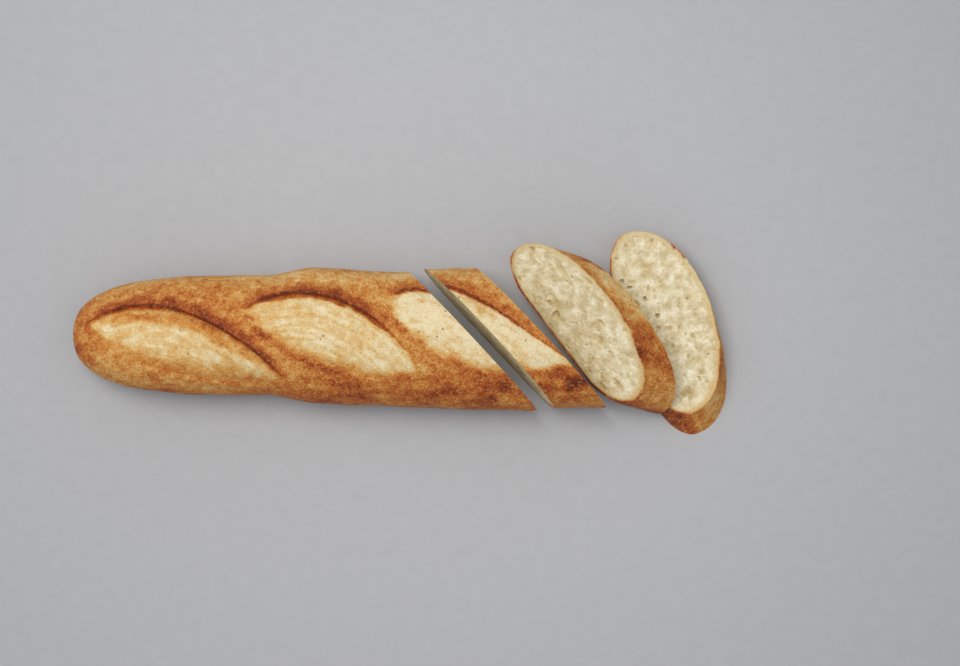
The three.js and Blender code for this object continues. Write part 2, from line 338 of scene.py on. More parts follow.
def slash_relief(slash, points, normals):
    """How a slash moves the skin: outwards by the first result, and sideways by the second."""
    x, y = points[..., 0], points[..., 1]
    full, _, from_ear, from_lower, slope = across_slash(slash, x, y)
    on_top = smooth(0.05, 0.4, normals[..., 2])
    wobble = 0.5 * noise(points, 5.0, 31)
    from_ear = from_ear + wobble * 0.6
    from_lower = from_lower + wobble * 2.2
    on_lip = (np.abs(from_ear) < 0.5 * CELL) & (full > 0.2)
    onto_lip = np.where(on_lip, -from_ear, 0)
    from_ear = np.where(on_lip, -0.001, from_ear)
    inside = (from_ear > 0) & (from_lower > -1) & (full > 0)
    width = np.maximum(from_ear + np.maximum(from_lower, 0), 1)
    share_across = np.clip(from_ear / width, 0, 1)
    lip = slash["lift"] * (1 - smooth(0, EAR_REACH, -from_ear)) ** 1.3
    bed = -BED_DIP * slash["lift"] * (1 - smooth(0.3, 4.0, from_ear))
    bed = bed + BED_SWELL * np.sin(np.pi * share_across**0.8)
    past_strip = from_ear + 0.35 * ragged(points) - 0.95 * slash["strip"]
    bed = bed - STRIP_STEP * slash["strip"] * smooth(-0.6, 0.7, past_strip)
    streaks = np.stack([x / 9.0, from_ear / 1.5, np.zeros_like(x)], -1)
    bed = bed + 0.22 * noise(streaks, 1.0, 12)
    bed = bed + 0.3 * noise(points, 5.5, 13) + 0.16 * noise(points, 2.3, 14)
    outwards = np.where(from_ear <= 0, lip, np.where(inside, bed, 0))
    torn = np.exp(-(((from_lower + 1.4) / 1.3) ** 2)) - np.exp(-(((from_lower - 0.8) / 1.2) ** 2))
    outwards = outwards + TORN_EDGE * torn * (from_ear > 3)
    behind, under = 1 - smooth(0, 3.2, -from_ear), -0.45 * (1 - smooth(0, 1.3, from_ear))
    slide = np.where(from_ear <= 0, behind, under)
    towards_bloom = np.stack([slope, -np.ones_like(slope), np.zeros_like(slope)], -1)
    towards_bloom = towards_bloom / np.linalg.norm(towards_bloom, axis=-1, keepdims=True)
    towards_bloom = towards_bloom - normals * (towards_bloom * normals).sum(-1, keepdims=True)
    sideways = towards_bloom * ((EAR_OVERHANG * slide * full + onto_lip) * on_top)[..., None]
    return outwards * full * on_top, sideways


def baked_skin(x, angle):
    """The finished skin: the loaf's section with its slashes, swellings and pores."""
    points = section(x, angle)
    normals = skin_normal(x, angle)
    grown = smooth(2.0, 9.0, points[..., 2]) * smooth(0.0, 6.0, x)
    outwards = grown * sum(height * noise(points, size, seed) for height, size, seed in SWELLS)
    height, size, seed = PORES
    outwards = outwards + height * noise(points, size, seed)
    sideways = 0
    for slash in SLASHES:
        lift, slide = slash_relief(slash, points, normals)
        outwards = outwards + lift
        sideways = sideways + slide
    return points + normals * outwards[..., None] + sideways


def cut_station(cut, y, z):
    """Where a cut's plane stands along the loaf, at a height and a distance across."""
    at, lean = cut
    return at / math.cos(BIAS) - y * math.tan(BIAS) + z * math.tan(math.radians(lean)) / math.cos(BIAS)


def laid_out(surface, target, start, rounds=4):
    """Moves the stations until the surface's points stand on the target stations."""
    x = start
    for _ in range(rounds):
        points = surface(x)
        x = np.maximum(x + target(points[..., 1], points[..., 2]) - points[..., 0], 0.0)
    points = surface(x)
    return x, points


# ---- Bake ----
# How dark the oven left the skin, from 0 for floury cream to 1 for nearly black. Each patch has its
# place along and across the loaf, its half sizes, and how much darker it is than the rest.
BASE_BAKE, PALER_BACK, DARKER_UNDER = 0.43, 0.15, 0.30
PATCHES = [
    (2, 0, 9, 26, 0.22),
    (38, -30, 32, 5, 0.25),
    (128, -29, 30, 9, 0.16),
    (200, -27, 34, 9, 0.39),
    (240, -25, 9, 8, 0.30),
    (251, -15, 7, 7, 0.20),
    (263, -24, 9, 9, 0.28),
    (265, 30, 40, 14, -0.22),
]
EVEN, DAPPLED = 0.9, 0.8  # how much of a patch is even, and how much comes and goes
FADED = 0.8  # how much of an ear's colour is lost past its dark share
NARROWED = 0.6  # how much of the browned strip's width is lost towards its end
STREAKED = 0.11


def crust_bake(points, normals):
    """The bake before the slashes are reckoned in."""
    x, y = points[..., 0], points[..., 1]
    drawn_out = points * (0.3, 1, 1)
    level = BASE_BAKE + 0.07 * noise(points, 24.0, 5)
    level = level + 0.10 * noise(drawn_out, 4.0, 6) + 0.06 * noise(points, 2.4, 7)
    level = level - PALER_BACK * smooth(22, 32, y) + DARKER_UNDER * smooth(-0.5, 0.6, -normals[..., 2])
    for patch_x, patch_y, half_long, half_wide, darker in PATCHES:
        near = np.exp(-(((x - patch_x) / half_long) ** 2) - ((y - patch_y) / half_wide) ** 2)
        level = level + darker * near * (EVEN + DAPPLED * noise(points, 6.0, 8))
    return level


def bake_of(points, normals):
    x, y = points[..., 0], points[..., 1]
    level = crust_bake(points, normals)
    on_top = smooth(0.0, 0.3, normals[..., 2])
    edge = ragged(points)
    grains = 0.07 * noise(points, 13.0, 15) + 0.06 * noise(points, 5.0, 11) + 0.06 * noise(points, 2.2, 12)
    for slash in SLASHES:
        full, share, from_ear, from_lower, _ = across_slash(slash, x, y)
        shown = np.clip(full * 2, 0, 1) * on_top
        above = shown * (from_ear <= 0)
        fading = 1 - FADED * smooth(*slash["lip_share"], share)
        band = 1 - smooth(1.5, 6.5, -from_ear + 0.5 * edge)
        level = level + slash["band"] * above * band * fading
        below = shown * (from_lower < 1.5) * (from_ear > 2) * (1 - smooth(0.45, 0.7, share))
        level = level + slash["edge"] * below * np.exp(-(((from_lower + 1.2 + 0.3 * edge) / 2.2) ** 2))
        streaks = noise(np.stack([x / 9, from_ear / 1.3, 0 * x], -1), 1.0, 14)
        strip = slash["strip"] * smooth(-0.05, 0.22, share) * (1 - NARROWED * smooth(0.65, 0.95, share))
        past_strip = (from_ear + 0.35 * edge - strip) / slash["strip"]
        in_strip = 1 - smooth(-0.3, 0.3 / slash["strip"], past_strip)
        bloom_bake = slash["pale"] + (slash["strip_bake"] - slash["pale"]) * in_strip
        fade_start, fade_end = slash["fade"]
        fade_width = (fade_end - fade_start) * np.maximum(full, 0.05)
        fade = smooth(fade_start, fade_start + fade_width, from_lower + 0.8 * edge)
        bloom = shown * (from_ear > 0) * fade
        level = level * (1 - bloom) + bloom * (bloom_bake + grains + STREAKED * streaks)
        # A dark line along the ear's edge: partly the lip's own darker bake, partly painted shadow where
        # the overhanging ear shades the bloom.
        lip_and_painted_shadow = shown * np.exp(-((from_ear / 1.1) ** 2)) * (from_ear > -0.9 + 0.2 * edge)
        level = level + slash["lip"] * lip_and_painted_shadow * fading
    return np.clip(level, 0, 1)


# ---- Crusts, blooms and ears ----
# The skin is laid out as rings of points, closer together on top than underneath, and shared out:
# cells under a slash go to its bloom, cells along the slash's upper edge to its ear, the rest to the
# crust. Each share is a closed shell that follows the skin outside and the crumb inside.
SKIN = 1.6  # thickness of the baked skin
EAR_WIDTH = 5.5
UNDER_HEIGHT, UNDER_SHARE = 3, 0.4  # below this height the skin has this share of the points
TYPICAL_STATION = 220
OUTLINE_STEPS = 1440
MOST_REPAIRS = 12
CUT_EDGE_DEPTH = 0.28  # the knife laid bare this share of the skin's thickness along its edges


def ring_angles(x, cell):
    fine = np.linspace(0, 2 * np.pi, OUTLINE_STEPS + 1)
    outline = section(np.full_like(fine, x), fine)
    length = np.linalg.norm(np.diff(outline, axis=0), axis=1)
    heights = 0.5 * (outline[1:, 2] + outline[:-1, 2])
    need = length * np.where(heights > UNDER_HEIGHT, 1.0, UNDER_SHARE) / cell
    run = np.concatenate([[0], np.cumsum(need)])
    count = int(run[-1])
    return np.interp(np.arange(count) * run[-1] / count, run, fine)


def heel_stations(end, cell):
    fine = np.concatenate([[0], np.geomspace(0.002, 4, 400), np.linspace(4.05, end, 2000)])
    run = np.concatenate([[0], np.cumsum(np.hypot(np.diff(fine), np.diff(half_width(fine))))])
    count = int(run[-1] / cell) + 1
    return np.interp(np.linspace(0, run[-1], count), run, fine)


def lay_lattice(near, far, cell):
    """Rings of points over one part of the loaf: outside and inside, and where they lie on it."""
    angles = ring_angles(TYPICAL_STATION, cell)
    if near is None:
        end = far[0] / math.cos(BIAS)
        stations = heel_stations(end, cell)
        slant = smooth(60, end, stations)[:, None]

        def target(y, z):
            return stations[:, None] + slant * (cut_station(far, y, z) - end)

        start = np.repeat(stations[:, None], len(angles), 1)
    else:
        count = int((far[0] - near[0]) / math.cos(BIAS) / cell) + 1
        share = np.linspace(0, 1, count)[:, None]

        def target(y, z):
            return (1 - share) * cut_station(near, y, z) + share * cut_station(far, y, z)

        start = target(np.zeros((1, len(angles))), np.zeros((1, len(angles))))
    round_it = np.broadcast_to(angles, start.shape)
    x, outside = laid_out(lambda s: baked_skin(s, round_it), target, start)
    _, inside = laid_out(lambda s: section(s, round_it, SKIN), target, start)
    for points in (outside, inside):
        points[-1, :, 0] = cut_station(far, points[-1, :, 1], points[-1, :, 2])
        if near is not None:
            points[0, :, 0] = cut_station(near, points[0, :, 1], points[0, :, 2])
    if near is None:
        outside[0] = outside[0].mean(0)
        inside[0] = inside[0].mean(0)
    normals = unit_outward(np.roll(outside, -1, 1) - np.roll(outside, 1, 1), np.gradient(outside, axis=0))
    if near is None:
        normals[0] = (-1, 0, 0)
    lattice = {"outside": outside, "inside": inside, "normals": normals}
    return {**lattice, "x": x, "angle": round_it, "heel": near is None}


def share_out(lattice, slash_numbers):
    """Which piece each cell of the skin belongs to: 0 crust, then a bloom and an ear for each slash.

    Where two pieces would touch at one corner only, the cell beside it changes hands.
    """
    x, angle = lattice["x"], lattice["angle"]
    base = section(x, angle)
    normals = skin_normal(x, angle)
    middle = (base[:-1] + base[1:]) / 2
    middle = (middle + np.roll(middle, -1, 1)) / 2
    up = normals[:-1, :, 2]
    owner = np.zeros(middle.shape[:2], int)
    for i, number in enumerate(slash_numbers):
        slash = SLASHES[number]
        full, _, from_ear, from_lower, _ = across_slash(slash, middle[..., 0], middle[..., 1])
        from_lower = from_lower + 1.1 * noise(middle, 5.0, 31)
        from_ear = from_ear + 0.3 * noise(middle, 5.0, 31)
        owner[(from_ear > 0) & (from_lower > 0) & (full > 0.05) & (up > 0.2)] = 1 + 2 * i
        owner[(from_ear <= 0) & (from_ear > -EAR_WIDTH * full) & (full > 0.3) & (up > 0.2)] = 2 + 2 * i
    for _ in range(MOST_REPAIRS):
        a, b = owner[:-1], owner[1:]
        a_next, b_next = np.roll(a, -1, 1), np.roll(b, -1, 1)
        crossing = (a == b_next) & (a != b) & (a != a_next) | (b == a_next) & (b != a) & (b != b_next)
        if not crossing.any():
            break
        rows, columns = np.nonzero(crossing)
        owner[rows + 1, columns] = owner[rows, columns]
    return owner


def mesh_from(name, vertices, faces, place):
    """A mesh from points in millimetres along the loaf, put in its place on the board."""
    pinched = faces[:, 0] == faces[:, 1]
    faces[pinched] = np.roll(faces[pinched], -2, axis=1)
    used, faces = np.unique(faces, return_inverse=True)
    faces = faces.reshape(-1, 4)
    local = vertices[used]
    world_points = local @ np.array(place.to_3x3()).T * MM + np.array(place.translation)
    mesh = bpy.data.meshes.new(name)
    mesh.vertices.add(len(local))
    mesh.vertices.foreach_set("co", world_points.astype(np.float32).ravel())
    triangle = faces[:, 2] == faces[:, 3]
    sizes = np.where(triangle, 3, 4)
    keep = np.ones(faces.shape, bool)
    keep[:, 3] = ~triangle
    corners = faces[keep]
    mesh.loops.add(len(corners))
    mesh.loops.foreach_set("vertex_index", corners.astype(np.int32))
    mesh.polygons.add(len(faces))
    mesh.polygons.foreach_set("loop_start", (np.cumsum(sizes) - sizes).astype(np.int32))
    mesh.update(calc_edges=True)
    grain = mesh.attributes.new("grain", "FLOAT_VECTOR", "POINT")
    grain.data.foreach_set("vector", (local * MM).astype(np.float32).ravel())
    return mesh, used, corners, np.repeat(np.arange(len(faces)), sizes)


def write_attribute(mesh, name, values):
    layer = mesh.attributes.new(name, "FLOAT", "POINT")
    layer.data.foreach_set("value", np.asarray(values, np.float32))


def close_tip(faces, first, around):
    """Makes the ring of equal points at the heel's tip one point."""
    return np.where((faces >= first) & (faces < first + around), first, faces)


def shell_of(name, lattice, owner, number, place, material):
    """The closed shell of one share of the skin."""
    rings, around = lattice["outside"].shape[:2]
    index = np.arange(rings * around).reshape(rings, around)
    index_next = np.roll(index, -1, 1)
    offset = rings * around
    mine = owner == number
    quads, smooth_faces = [], []

    def add(mask, a, b, c, d, rounded_face):
        quads.append(np.stack([part[mask] for part in (a, b, c, d)], -1))
        smooth_faces.append(np.full(mask.sum(), rounded_face))

    a, b, c, d = index[:-1], index_next[:-1], index_next[1:], index[1:]
    add(mine, a, b, c, d, True)
    add(mine, d + offset, c + offset, b + offset, a + offset, True)
    before = np.vstack([np.zeros((1, around), bool), mine[:-1]])
    after = np.vstack([mine[1:], np.zeros((1, around), bool)])
    if lattice["heel"]:
        before[0] = True
    add(mine & ~before, b, a, a + offset, b + offset, False)
    add(mine & ~after, d, c, c + offset, d + offset, False)
    add(mine & ~np.roll(mine, 1, 1), a, d, d + offset, a + offset, False)
    add(mine & ~np.roll(mine, -1, 1), c, b, b + offset, c + offset, False)
    faces = np.vstack(quads)
    if lattice["heel"]:
        faces = close_tip(close_tip(faces, 0, around), offset, around)
    shading = np.concatenate(smooth_faces)
    vertices = np.vstack([lattice["outside"].reshape(-1, 3), lattice["inside"].reshape(-1, 3)])
    mesh, used, corners, face_of = mesh_from(name, vertices, faces, place)
    mesh.polygons.foreach_set("use_smooth", shading)
    turned = lattice["normals"].reshape(-1, 3) @ np.array(place.to_3x3()).T
    turned = np.vstack([turned, -turned])[used][corners]
    turned[~shading[face_of]] = 0
    mesh.normals_split_custom_set(turned.tolist())
    skin_bake = lattice["bake"].ravel()
    write_attribute(mesh, "bake", np.concatenate([skin_bake, skin_bake])[used])
    outside_depth = np.zeros((rings, around))
    outside_depth[-1] = CUT_EDGE_DEPTH
    if not lattice["heel"]:
        outside_depth[0] = CUT_EDGE_DEPTH
    write_attribute(mesh, "depth", np.concatenate([outside_depth.ravel(), np.ones(offset)])[used])
    blistered = np.where(lattice["normals"][..., 2] > 0, lattice["bake"], 0).ravel()
    write_attribute(mesh, "blistered", np.concatenate([blistered, np.zeros(offset)])[used])
    mesh.materials.append(material)
    piece = bpy.data.objects.new(name, mesh)
    bpy.context.collection.objects.link(piece)
    return piece


# The crust's colour runs from floury cream through gold and russet to nearly black with the bake, and
# its cut edge fades inwards to the crumb's cream.
RIM_GOLD = (0.68, 0.47, 0.20)
RIM_CREAM = (0.70, 0.60, 0.36)
RIM_STOPS = [(0.0, 0.0), (0.1, 0.0), (0.45, 0.8), (0.8, 1.0)]  # how far into the skin, how much cream
BLISTER_GOLD = (0.62, 0.33, 0.11)
BURNT_SPECK = (0.16, 0.07, 0.02)
CRUST_COLOURS = [
    (0.0, (0.79, 0.67, 0.43)),
    (0.12, (0.71, 0.53, 0.26)),
    (0.26, (0.66, 0.395, 0.135)),
    (0.42, (0.57, 0.25, 0.052)),
    (0.58, (0.45, 0.122, 0.022)),
    (0.76, (0.27, 0.048, 0.009)),
    (1.0, (0.10, 0.020, 0.006)),
]


def math_node(nodes, links, operation, *values):
    node = nodes.new("ShaderNodeMath")
    node.operation = operation
    for socket, value in zip(node.inputs, values):
        if isinstance(value, (int, float)):
            socket.default_value = value
        else:
            links.new(value, socket)
    return node.outputs[0]


def bump_node(nodes, links, height, distance, strength, below=None):
    node = nodes.new("ShaderNodeBump")
    node.inputs["Distance"].default_value = distance
    node.inputs["Strength"].default_value = strength
    links.new(height, node.inputs["Height"])
    if below is not None:
        links.new(below, node.inputs["Normal"])
    return node.outputs["Normal"]


def attribute_node(nodes, name, output="Fac"):
    node = nodes.new("ShaderNodeAttribute")
    node.attribute_name = name
    return node.outputs[output]


def rim_colour(nodes, links, grain):
    """Where crust turns into crumb: more golden towards the slashed side, patchy everywhere."""
    parts = nodes.new("ShaderNodeSeparateXYZ")
    links.new(grain, parts.inputs["Vector"])
    sided = range_node(nodes, links, parts.outputs["Y"], 0.01, -0.025, 0.3, 0.9)
    patches = noise_node(nodes, links, grain, 560, 4, 0.7)
    patchy = range_node(nodes, links, patches, 0.3, 0.7, -0.75, 0.65)
    return mix_node(nodes, links, math_node(nodes, links, "ADD", sided, patchy), RIM_CREAM, RIM_GOLD)


def crust_finish(name, mottling, blisters, burnt_specks):
    """Baked skin: how much the bake varies from spot to spot, how many light and dark specks it has."""
    material, nodes, links, shader = new_material(name, 0.6)
    grain = attribute_node(nodes, "grain", "Vector")
    bake = attribute_node(nodes, "bake")
    depth = attribute_node(nodes, "depth")
    level = bake
    mottle = noise_node(nodes, links, grain, 260, 5, 0.65)
    specks = noise_node(nodes, links, grain, 900, 3, 0.65)
    dust = noise_node(nodes, links, grain, 2200, 2, 0.6)
    for layer, share in ((mottle, 0.13), (specks, 0.15), (dust, 0.09)):
        swing = share * mottling
        darker = range_node(nodes, links, layer, 0.3, 0.7, -swing, swing)
        level = math_node(nodes, links, "ADD", level, darker)
    colour = ramp_node(nodes, links, level, CRUST_COLOURS)
    bubbles = nodes.new("ShaderNodeTexVoronoi")
    bubbles.inputs["Scale"].default_value = 620
    links.new(grain, bubbles.inputs["Vector"])
    speck = range_node(nodes, links, bubbles.outputs["Distance"], 0.36, 0.2)
    few = range_node(nodes, links, noise_node(nodes, links, grain, 420, 1), 0.46, 0.58)
    speck = math_node(nodes, links, "MULTIPLY", speck, few)
    dark_enough = range_node(nodes, links, bake, 0.38, 0.7, 0.1, blisters)
    speck = math_node(nodes, links, "MULTIPLY", speck, dark_enough)
    colour = mix_node(nodes, links, speck, colour, BLISTER_GOLD)
    crumbs = nodes.new("ShaderNodeTexVoronoi")
    crumbs.inputs["Scale"].default_value = 150
    links.new(grain, crumbs.inputs["Vector"])
    burnt = range_node(nodes, links, crumbs.outputs["Distance"], 0.12, 0.05, 0.0, burnt_specks)
    colour = mix_node(nodes, links, burnt, colour, BURNT_SPECK)
    rim_stops = [(place, (share,) * 3) for place, share in RIM_STOPS]
    browned = range_node(nodes, links, bake, 0.42, 0.75, 0.0, 0.55)
    rim = ramp_node(nodes, links, math_node(nodes, links, "SUBTRACT", depth, browned), rim_stops)
    colour = mix_node(nodes, links, rim, colour, rim_colour(nodes, links, grain))
    links.new(colour, shader.inputs["Base Color"])
    finest = bump_node(nodes, links, dust, 0.0003, 0.6)
    fine = bump_node(nodes, links, specks, 0.0008, 0.7, finest)
    links.new(bump_node(nodes, links, mottle, 0.0012, 0.6, fine), shader.inputs["Normal"])
    gloss = range_node(nodes, links, level, 0.1, 0.8, 0.8, 0.5)
    links.new(gloss, shader.inputs["Roughness"])
    return material


crust_material = crust_finish("golden_crust", 1.1, 0.6, 0.3)
bloom_material = crust_finish("pale_bloom", 0.75, 0.0, 0.7)
ear_material = crust_finish("russet_ear", 1.0, 0.4, 0.3)

# ---- Places ----
# The heel end lies where it was baked. Each slice is turned about its foot, the lower edge of its far
# face, and set down on the board.
FOOT_LINE = Vector((math.sin(BIAS), -math.cos(BIAS), 0))
POSES = {  # where each slice's foot stands, how steeply it rises, and how it is turned
    1: ((230.6, 1), 86, 0),
    2: ((258.5, -4.2), 45, -6),
    3: ((282.6, -6.4), 0, -22.8),
}
GROUPS = {"loaf": (None, CUTS[0], [0, 1, 2], Matrix.Translation(heel))}
for number, (foot, rise, yaw) in POSES.items():
    near, far = CUTS[number - 1], CUTS[number]
    upright = Matrix.Translation((-far[0] / math.cos(BIAS) * MM, 0, 0))
    tipped = Matrix.Rotation(-math.radians(90 - far[1] - rise), 4, FOOT_LINE)
    set_down = Matrix.Translation(heel + Vector((foot[0] * MM, foot[1] * MM, 0)))
    place = set_down @ Matrix.Rotation(math.radians(yaw), 4, "Z") @ tipped @ upright
    GROUPS[f"slice_{number}"] = (near, far, [min(number + 1, 3)], place)

lattices = {}
for body, (near, far, slash_numbers, place) in GROUPS.items():
    lattice = lay_lattice(near, far, CELL)
    where = lattice["x"], lattice["angle"]
    lattice["bake"] = bake_of(section(*where), skin_normal(*where))
    lattices[body] = lattice
    owner = share_out(lattice, slash_numbers)
    crust = shell_of(f"{body}_crust_skin", lattice, owner, 0, place, crust_material)
    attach(crust, body)
    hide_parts(f"{body}_crust")
    for i in range(len(slash_numbers)):
        suffix = f"_{i + 1}" if len(slash_numbers) > 1 else ""
        kinds = (("bloom", bloom_material, 1 + 2 * i), ("ear", ear_material, 2 + 2 * i))
        for kind, material, share in kinds:
            if not (owner == share).any():
                continue
            piece = shell_of(f"{body}_{kind}_skin{suffix}", lattice, owner, share, place, material)
            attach(piece, body)
            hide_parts(f"{body}_{kind}{suffix}")

# ---- Blisters ----
# Where the skin baked darkest, its surface is covered in tiny bubbles. They are scattered over each
# part's crust, thickest in its dark patches, and lie flat on it.
BLISTERS_PER_AREA = 110000  # in a square metre, where the skin is darkest
BLISTER_RADII = (0.16 * MM, 0.42 * MM)
BLISTER_FLATNESS = 0.45
BLISTERED_FROM, BLISTERED_TO = 0.48, 0.8  # the bakes where blisters start, and where they are thickest
BLISTER_COLOURS = [(0.35, (0.40, 0.12, 0.025)), (0.5, (0.52, 0.20, 0.045)), (0.65, (0.62, 0.32, 0.10))]
TREE_INPUTS = (("Density", "Float"), ("Smallest", "Float"), ("Largest", "Float"), ("Seed", "Int"))
blister_material, nodes, links, shader = new_material("blister_gold", 0.5)
place = nodes.new("ShaderNodeTexCoord").outputs["Object"]
spot = noise_node(nodes, links, place, 700, 2)
links.new(ramp_node(nodes, links, spot, BLISTER_COLOURS), shader.inputs["Base Color"])


def blister_tree():
    """Scatters flat bubbles over a mesh, thicker where its skin is more blistered."""
    tree = bpy.data.node_groups.new("blisters", "GeometryNodeTree")
    sockets = {}
    tree.interface.new_socket("Skin", in_out="INPUT", socket_type="NodeSocketGeometry")
    for name, kind in TREE_INPUTS:
        socket = tree.interface.new_socket(name, in_out="INPUT", socket_type=f"NodeSocket{kind}")
        sockets[name] = socket.identifier
    tree.interface.new_socket("Blisters", in_out="OUTPUT", socket_type="NodeSocketGeometry")
    nodes, links = tree.nodes, tree.links
    given = nodes.new("NodeGroupInput").outputs
    share = nodes.new("ShaderNodeMapRange")
    share.inputs["From Min"].default_value = BLISTERED_FROM
    share.inputs["From Max"].default_value = BLISTERED_TO
    baked = nodes.new("GeometryNodeInputNamedAttribute")
    baked.inputs["Name"].default_value = "blistered"
    links.new(baked.outputs["Attribute"], share.inputs["Value"])
    density = math_node(nodes, links, "MULTIPLY", share.outputs["Result"], given["Density"])
    scatter = nodes.new("GeometryNodeDistributePointsOnFaces")
    links.new(given["Skin"], scatter.inputs["Mesh"])
    links.new(density, scatter.inputs["Density"])
    links.new(given["Seed"], scatter.inputs["Seed"])
    radius = nodes.new("FunctionNodeRandomValue")
    radius.data_type = "FLOAT"
    for source, socket in (("Smallest", 2), ("Largest", 3), ("Seed", 8)):
        links.new(given[source], radius.inputs[socket])
    size = nodes.new("ShaderNodeCombineXYZ")
    links.new(radius.outputs[1], size.inputs["X"])
    links.new(radius.outputs[1], size.inputs["Y"])
    links.new(math_node(nodes, links, "MULTIPLY", radius.outputs[1], BLISTER_FLATNESS), size.inputs["Z"])
    bubble = nodes.new("GeometryNodeMeshIcoSphere")
    bubble.inputs["Radius"].default_value = 1
    bubble.inputs["Subdivisions"].default_value = 2
    place_each = nodes.new("GeometryNodeInstanceOnPoints")
    links.new(scatter.outputs["Points"], place_each.inputs["Points"])
    links.new(scatter.outputs["Rotation"], place_each.inputs["Rotation"])
    links.new(bubble.outputs["Mesh"], place_each.inputs["Instance"])
    links.new(size.outputs["Vector"], place_each.inputs["Scale"])
    realize = nodes.new("GeometryNodeRealizeInstances")
    links.new(place_each.outputs["Instances"], realize.inputs["Geometry"])
    paint = nodes.new("GeometryNodeSetMaterial")
    paint.inputs["Material"].default_value = blister_material
    links.new(realize.outputs["Geometry"], paint.inputs["Geometry"])
    links.new(paint.outputs["Geometry"], nodes.new("NodeGroupOutput").inputs["Blisters"])
    return tree, sockets


blisters, blister_sockets = blister_tree()
smallest, largest = BLISTER_RADII
for seed, body in enumerate(GROUPS):
    skin = bpy.data.objects[f"{body}_crust_skin"]
    scattered = bpy.data.objects.new(f"{body}_blisters", skin.data.copy())
    bpy.context.collection.objects.link(scattered)
    modifier = scattered.modifiers.new("scatter", "NODES")
    modifier.node_group = blisters
    settings = {"Density": BLISTERS_PER_AREA, "Smallest": smallest, "Largest": largest, "Seed": seed}
    for name, value in settings.items():
        modifier[blister_sockets[name]] = value
    evaluated = scattered.evaluated_get(bpy.context.evaluated_depsgraph_get())
    mesh = bpy.data.meshes.new_from_object(evaluated)
    scattered.modifiers.clear()
    scattered.data = mesh
    mesh.name = f"{body}_blisters"
    mesh.polygons.foreach_set("use_smooth", np.ones(len(mesh.polygons), bool))
    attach(scattered, body)

# ---- Crumb ----
# The crumb is soft dough full of holes, baked in one with its skin. Its cut faces are sheets of small
# triangles, pressed in where the knife opened a hole; a cut's two faces show halves of the same holes.
CRUMB_CELL = 0.45
OVERLAP = 0.06  # the crumb reaches this far into the skin, so no light comes through the joint
BIG_HOLES = {  # on each cut: place along and up the face, half sizes and depth
    1: [
        (-23, 29, 6, 3, 1.5),
        (-13, 14, 4.5, 2.2, 1.2),
        (2, 36, 3, 2, 1.1),
        (16, 21, 3.8, 2.4, 1.3),
        (40, 14, 4, 2, 1.3),
    ],
    2: [
        (-25, 6, 1.4, 0.9, 2.2),
        (-20, 8, 1.2, 1, 2.2),
        (-12, 13, 1.5, 1.1, 2.4),
        (-2, 16, 1.4, 1.1, 2.4),
        (-26, 18, 7, 3.5, 1.2),
        (39, 18, 4, 3, 1.3),
    ],
}
HOLE_KINDS = [(1100, 0.22, 0.55), (110, 0.5, 1.1), (12, 1.1, 1.9)]  # how many, smallest and largest
FACE_REACH, FACE_HEIGHT = 56, 44
WARPS = [(1.3, 3.2), (0.5, 1.2)]  # how far the holes' outlines stray, and over what size
DEEPEST = 3.4
ROW_STEP = 0.87  # between rows of points, in cells
SHAKE = 0.12  # how far each point strays from its row, in cells
CLEARANCE = 0.45  # of the points from the face's edge, in cells
GOLDEN_RIM = 1.3
# The hole depth at which the painted shade in the holes is darkest.
DARKEST_SHADE_DEPTH = 1.6


def holes_of(cut_number):
    """The holes that one cut opened: place on the face, half sizes and how deep their middles lie."""
    random = np.random.default_rng(40 + cut_number)
    rows = []
    for count, smallest, largest in HOLE_KINDS:
        along = random.uniform(-FACE_REACH, FACE_REACH, count)
        up = random.uniform(0, FACE_HEIGHT, count)
        size = random.uniform(smallest**0.5, largest**0.5, count) ** 2
        stretch = random.uniform(1.0, 1.9, count)
        offset = random.uniform(-0.7, 0.7, count) * size
        rows.append(np.stack([along, up, size * stretch, size, size, offset], -1))
    for along, up, wide, tall, deep in BIG_HOLES.get(cut_number, []):
        rows.append(np.array([[along, up, wide, tall, deep, 0.0]]))
    return np.vstack(rows)


def pressed_in(cut_number, along, up, side):
    """How deep the holes are at points of a face; side is 1 behind the cut and -1 in front of it."""
    places = np.stack([along, up, np.full_like(along, 7.0 * cut_number)], -1)
    for i, (stray, size) in enumerate(WARPS):
        along = along + stray * noise(places, size, 51 + i)
        up = up + stray * noise(places, size, 53 + i)
    depth = np.zeros_like(along)
    for u, v, wide, tall, deep, offset in holes_of(cut_number):
        near = (np.abs(along - u) < wide) & (np.abs(up - v) < tall)
        reach = ((along[near] - u) / wide) ** 2 + ((up[near] - v) / tall) ** 2
        bowl = deep * 0.65 * np.maximum(1 - reach, 0) ** 0.9 + side * offset * 0.5
        depth[near] = np.maximum(depth[near], np.where(reach < 1, np.minimum(bowl, DEEPEST), 0))
    return depth


def within(outline, points):
    """Which points lie inside an outline, and how far each is from it."""
    inside = np.zeros(len(points), bool)
    nearest = np.full(len(points), np.inf)
    x, y = points[:, 0], points[:, 1]
    for (x1, y1), (x2, y2) in zip(outline, np.roll(outline, -1, 0)):
        dx, dy = x2 - x1, y2 - y1
        if dy != 0:
            straddles = (y1 > y) != (y2 > y)
            inside ^= straddles & (x < dx * (y - y1) / dy + x1)
        t = np.clip(((x - x1) * dx + (y - y1) * dy) / (dx * dx + dy * dy), 0, 1)
        nearest = np.minimum(nearest, np.hypot(x - x1 - t * dx, y - y1 - t * dy))
    return inside, nearest


